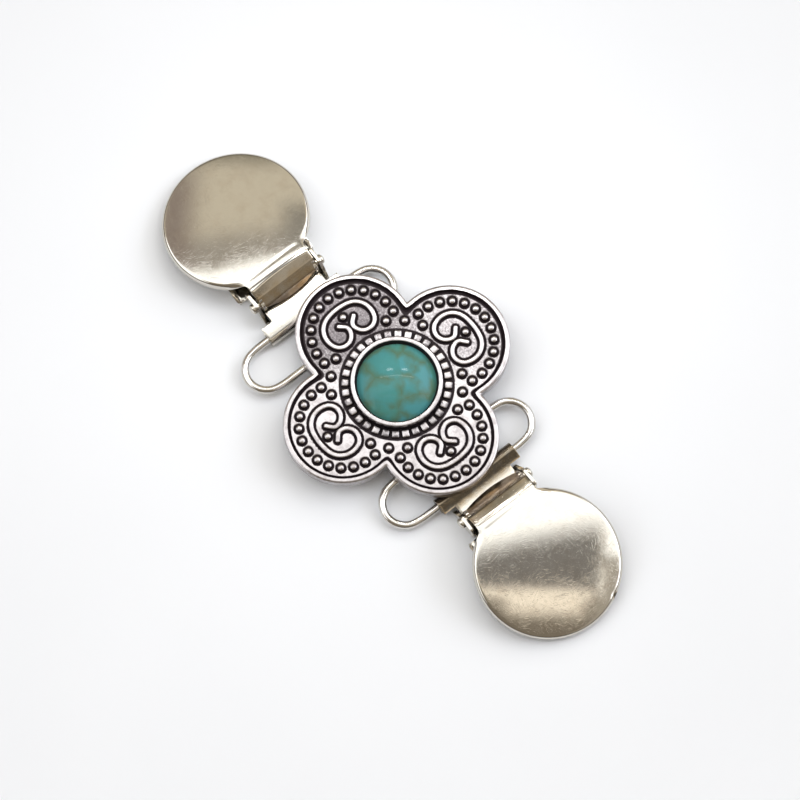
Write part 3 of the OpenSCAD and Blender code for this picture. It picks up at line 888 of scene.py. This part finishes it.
def place_clip(points, side):
    """Moves points from the clip's frame, u from the pin to the tip, v across and z up, to the
    object's: clip b is only shifted, and clip a is turned by half a turn too."""
    sign = 1 if side == "b" else -1
    u, v, z = np.moveaxis(points, -1, 0)
    return np.stack([sign * (pin_x + u), sign * v + slide[side], z], axis=-1)


def swept(line, v):
    """A line of (u, z) swept across the clip, as a grid."""
    return np.dstack(np.broadcast_arrays(line[:, :1], v, line[:, 1:]))


def base_ear(side):
    """An ear: from the floor's edge a quarter circle, then straight up to a height that slopes
    down towards the tab, leaning out a little."""
    height = np.interp(floor_u, [-2.6, -0.75, -0.45, 1.9, 2.3], [1.35, 4.6, 4.95, 5.0, 4.75])
    fold = np.radians(np.linspace(0, 90, 7))
    v = floor_half + fold_r * np.sin(fold)
    z = mid_z + fold_r * (1 - np.cos(fold))
    rise = np.linspace(0, 1, 12)[1:]
    ear_z = np.hstack([np.broadcast_to(z, (len(floor_u), 7)), z[-1] + rise * (height[:, None] - z[-1])])
    ear_v = np.hstack([v, v[-1] + 0 * rise]) + ear_lean * np.maximum(ear_z - 1, 0)
    return np.dstack([np.broadcast_to(floor_u[:, None], ear_z.shape), side * ear_v, ear_z])


def base_tab(side):
    """The tab: a ramp hidden under the nose, a gently arched top, then round the wire and under
    it. Its wings begin behind the ears. The top's slope goes evenly from one value in degrees at
    the roll to another at the ramp."""
    slope, end_slope = tab_slopes[side]
    wrap = np.array([-tab_reach, roll_z]) + turned(roll_mid_r, np.linspace(90 + slope, 365, 38))
    steep, flat = np.tan(np.radians(slope)), np.tan(np.radians(end_slope))
    away = tab_top_u - wrap[0, 0]
    top_z = wrap[0, 1] + steep * away - (steep - flat) / away[0] * away ** 2 / 2
    top = np.column_stack([tab_top_u, top_z])
    foot = np.array([floor_u[ramp_row], mid_z])
    rise = foot + np.linspace(0, 1, 8)[:-1, None] * (top[0] - foot)
    path = np.vstack([rise, top, wrap])
    wing = np.linspace(floor_half, tab_half, 7)
    beside = path[wing_row:]
    return [swept(path, floor_v), swept(beside, wing), swept(beside, -wing[::-1])]


def base_jaw():
    """The jaw: rows from its middle to the outline, whose columns start on the floor's front
    edge, widen to the shoulders and run round the end. All but the floor's edge turns up."""
    near = jaw_centre - floor_u[-1]
    neck = np.degrees(np.arctan2(floor_v, near))
    rest = np.linspace(neck[-1], 360 - neck[-1], 130)[1:-1]
    angle = np.concatenate([neck, rest])
    away = np.abs((angle + 180) % 360 - 180)
    c, s = np.cos(np.radians(away)), np.sin(np.radians(away))
    shoulder = np.minimum((near - 0.3) / np.maximum(c, 1e-6), jaw_side / np.maximum(s, 1e-6))
    shoulder = np.where(away < 60, shoulder, 0)
    front = near / np.maximum(c, 1e-6)
    outline = np.where(away <= neck[-1] + 1e-6, front, np.maximum(jaw_r, shoulder))
    turned_up = smooth(away, 34, 40)
    flat = outline - lip_bend_r * turned_up
    inner = np.linspace(0, 1, 14)[:, None] * flat
    bend = np.radians(90) * np.linspace(0, 1, 6)[1:, None] * turned_up
    lip_r = flat + lip_bend_r * np.sin(bend)
    lip_z = lip_bend_r * (1 - np.cos(bend))
    top_z = lip_z[-1] + (lip_top - mid_z - lip_bend_r) * turned_up
    radius = np.vstack([inner, lip_r, lip_r[-1]])
    z = np.vstack([np.zeros_like(inner), lip_z, top_z]) + mid_z
    x, y = np.moveaxis(turned(radius, angle), -1, 0)
    return np.dstack([jaw_centre - x, y, z])


def clip_base(side):
    """One clip's base plate: a flat floor, ears, jaw and tab."""
    floor = np.dstack(np.broadcast_arrays(floor_u[ramp_row:, None], floor_v, mid_z))
    parts = [sheet(place_clip(part, side)) for part in (floor, base_ear(1), base_ear(-1))]
    parts.append(sheet(place_clip(base_jaw(), side), close_cols=True))
    for part in base_tab(side):
        # Painted shade and reflection of the ornament darken the tab towards its tip, brown and then
        # black.
        brown = tab_painted_shade[side] * smooth(-part[..., 0], 1.6, 3.4)
        parts.append(sheet(place_clip(part, side), patina_and_shade=brown))
    plate = make_piece(f"clip_plate_{side}", parts, "body", f"clip_base_{side}", "clip_steel",
                       plate_finish)
    thicken(plate, 0.0)


clip_base("a")
clip_base("b")

# %% [markdown]
# ## Clip faces
# The round face is a shallow dome with a turned edge. At its neck the dome is cut by a line, and
# there the sheet folds over in a round of its own and goes on as a nose that wraps the pin. The
# disc's columns run through the neck line at even steps, so that the nose's columns can start on
# them and the sheet stays whole.
# %% Face
neck_z, neck_reach = 6.5, 2.15
face_r, face_reach, face_slope = 11.33, 10.95, 12.5
face_rise, edge_r, rim_l, bend_r = 0.9, 1.1, 0.68, 0.7
cap_r = ((face_r - edge_r) ** 2 + face_rise ** 2) / (2 * face_rise)
cap_lean = np.arcsin((face_r - bend_r) / (cap_r - bend_r))
neck_v = np.linspace(-neck_half, neck_half, 29)
neck_corner = np.degrees(np.arctan2(neck_half, face_reach))
nose_crease, nose_lean = np.array([0.435, 5.59]), 41.0
nose_fall = np.arctan2(neck_z - nose_crease[1], neck_reach - nose_crease[0])
nose_short, nose_bow, nose_turn = 1.75, 1.25, 0.10
fold_round = 1.3
half_turn = (np.radians(face_slope) + nose_fall) / 2
fold_reach = fold_round * np.tan(half_turn)
press_s, press_half_w, press_depth = 1.3, 0.16, 0.06
# Each dent: its place along and across, its radius and depth
face_dents = {"a": [], "b": [(21.25, 5.5, 0.75, 0.12)]}
# How much painted black shade lies in a dent, over its highlight
dent_painted_shade = 3.2
cheek_v, cheek_half_t, cheek_bore, cheek_r, cheek_chamfer = 4.95, 0.25, 0.65, 1.25, 0.05
cheek_corners = np.array([[3.0, 1.7], [2.1, 2.2], [0.0, 1.55], [-1.17, -0.43], [0.96, -0.80]])


def dome(distance):
    """Height of the face's dome over the neck line's level, at a distance from its middle."""
    return np.sqrt(cap_r ** 2 - distance ** 2) - np.sqrt(cap_r ** 2 - face_reach ** 2)


def face_outline(away):
    """Outline radius and how far the edge is turned, by the angle away from the neck. Between the
    neck's corners it is a straight line; beyond them the neck's side runs into the circle."""
    line = face_reach / np.maximum(np.cos(np.radians(away)), 1e-6)
    side = np.where(away < 80, neck_half / np.maximum(np.sin(np.radians(away)), 1e-6), 0)
    radius = np.where(away <= neck_corner + 1e-6, line, soft_max(side, face_r, 0.75))
    return radius, smooth(away, neck_corner - 1, neck_corner + 22)


def face_disc(dents):
    """Rows from the middle of the disc to its outline: the dome, the turned edge as an arc of
    constant length that bends by the edge's share, and the short rim. Near the neck line it bends
    into the fold, and beyond that a faint line is pressed in. Each dent is a small bell-shaped
    dip. Besides the places s, v and n it gives how much painted black shade lies in the dents,
    over their highlight."""
    neck = np.degrees(np.arctan2(neck_v, face_reach))
    angle = np.concatenate([neck, np.linspace(neck_corner, 360 - neck_corner, 190)[1:-1]])
    outline, share = face_outline(np.abs((angle + 180) % 360 - 180))
    full = np.pi / 2 - cap_lean
    arc_l = bend_r * full
    total = np.maximum(full * share, 1e-4)
    lean = cap_lean + total * np.linspace(0, 1, 11)[:, None]
    out = arc_l / total * (np.sin(lean) - np.sin(cap_lean))
    drop = arc_l / total * (np.cos(cap_lean) - np.cos(lean)) - out * np.tan(cap_lean)
    flat = outline - out[-1]
    cap = np.linspace(0, 1, 40)[:, None] * flat
    radius = np.vstack([cap, flat + out[1:], outline, outline])
    rim = rim_l * share
    sink = np.vstack([np.zeros_like(cap), drop[1:], drop[-1] + 0.5 * rim, drop[-1] + rim])
    x, v = np.moveaxis(turned(radius, angle), -1, 0)
    s = face_reach - x
    fold = np.maximum(fold_reach - s, 0) ** 2 / (2 * fold_round)
    pressed = np.exp(-((s - press_s) / press_half_w) ** 2) * smooth(np.abs(v), 5.2, 4.0)
    n = dome(radius) - sink - press_depth * pressed - fold
    dent_shade = np.zeros_like(n)
    for dent_s, dent_v, dent_r, dent_depth in dents:
        bell = np.exp(-((s - dent_s) ** 2 + (v - dent_v) ** 2) / dent_r ** 2)
        n -= dent_depth * bell
        dent_shade += dent_painted_shade * bell
    return s, v, n, np.where(dent_shade > 1, dent_shade, 0)


def on_slope(s, v, n):
    """From the disc's own frame to the clip's: s runs down the slope, n is square to it."""
    b = np.radians(face_slope)
    u = neck_reach + s * np.cos(b) + n * np.sin(b)
    return np.dstack([u, v, neck_z - s * np.sin(b) + n * np.cos(b)])


def face_nose():
    """The nose: the second half of the neck's round fold, a straight fall to a crease, then a
    steeper one past the pin, cut in a bow that reaches furthest in the middle and turned down a
    little at the end. The dome's crown at the neck line dies out towards the crease."""
    lean, slope = np.radians(nose_lean), np.radians(face_slope)
    sag = fold_reach ** 2 / (2 * fold_round)
    neck = np.array([neck_reach - sag * np.sin(slope), neck_z - sag * np.cos(slope)])
    heading = np.linspace(np.pi - slope + half_turn, np.pi + nose_fall, 7)
    sine, cosine = np.sin(heading), np.cos(heading)
    fold = neck + fold_round * np.column_stack([sine - sine[0], cosine[0] - cosine])
    fall = np.linspace(0, 1, 7)[1:-1, None] * (nose_crease - fold[-1])
    fall = np.vstack([fold, fold[-1] + fall])
    crown = dome(np.hypot(face_reach, neck_v)) * np.linspace(1, 0, len(fall) + 1)[:-1, None]
    bow = 1 - (neck_v / neck_half) ** 2
    length = np.linspace(0, 1, 22)[:, None] * (nose_short + nose_bow * bow)
    drop = nose_turn * smooth(length, 1.6, 3.0)
    u = np.vstack([fall[:, :1] + crown * np.sin(slope),
                   nose_crease[0] - length * np.cos(lean) + drop * np.sin(lean)])
    z = np.vstack([fall[:, 1:] + crown * np.cos(slope),
                   nose_crease[1] - length * np.sin(lean) - drop * np.cos(lean)])
    return np.dstack([u, np.broadcast_to(neck_v, u.shape), z])


def cheek(v_mid):
    """A cheek under the neck: a flat plate round the pin's bore, whose outline is a circle joined
    to a corner under the neck. Both faces and the walls are rings that close on each other."""
    a = np.radians(np.arange(72) * 5)
    ahead = np.roll(cheek_corners, -1, axis=0) - cheek_corners
    normal = ahead[:, ::-1] * [1, -1]
    offset = np.sum(normal * cheek_corners, axis=1)[:, None]
    facing = normal @ np.stack([np.cos(a), np.sin(a)])
    reach = np.where(facing > 1e-6, offset / np.maximum(facing, 1e-6), 1e9).min(axis=0)
    outline = np.maximum(reach, cheek_r)
    inner = outline - cheek_chamfer
    rings = [(cheek_bore, -1), (inner, -1), (outline, -0.8), (outline, 0.8), (inner, 1), (cheek_bore, 1)]
    return ringed(rings, a, cheek_half_t) + [0, v_mid, pin_z]


def clip_face(side):
    """One lever: disc and nose as one sheet with its upper side drawn, thickened downwards, and
    the cheeks as plates of their own."""
    rides = f"lever_{side}", f"clip_lever_{side}", "face_steel"
    s, v, n, dent_shade = face_disc(face_dents[side])
    nose = face_nose()
    # The nose is painted brown from the neck down, as reflection of the shaded tab below it.
    brown = smooth(nose[..., 0], neck_reach, nose_crease[0] - 0.6)
    parts = [sheet(place_clip(on_slope(s, v, n), side), close_cols=True, patina_and_shade=dent_shade),
             sheet(place_clip(nose, side), patina_and_shade=brown)]
    face = make_piece(f"clip_face_{side}", parts, *rides, face_finish, closed=False)
    thicken(face, -1.0)
    cheeks = [sheet(place_clip(cheek(v), side), True, True) for v in (-cheek_v, cheek_v)]
    make_piece(f"clip_cheeks_{side}", cheeks, *rides, plate_finish)


clip_face("a")
clip_face("b")

# %% [markdown]
# ## Table
# The clip lies on a plain pale table. It isn't part of the object.
# %% Floor
floor_mesh = bpy.data.meshes.new("table")
floor_mesh.from_pydata([(-3, -3, 0), (3, -3, 0), (3, 3, 0), (-3, 3, 0)], [], [(0, 1, 2, 3)])
paper, shader, place = new_finish("pale_table")
tone = ramp(noise(place, 60.0), 0.3, 0.7)
fill(shader, {"Base Color": mix(tone, (0.88, 0.905, 0.95), (0.90, 0.925, 0.97)), "Roughness": 0.7})
floor_mesh.materials.append(paper)
table = put_in_scene("table", floor_mesh)
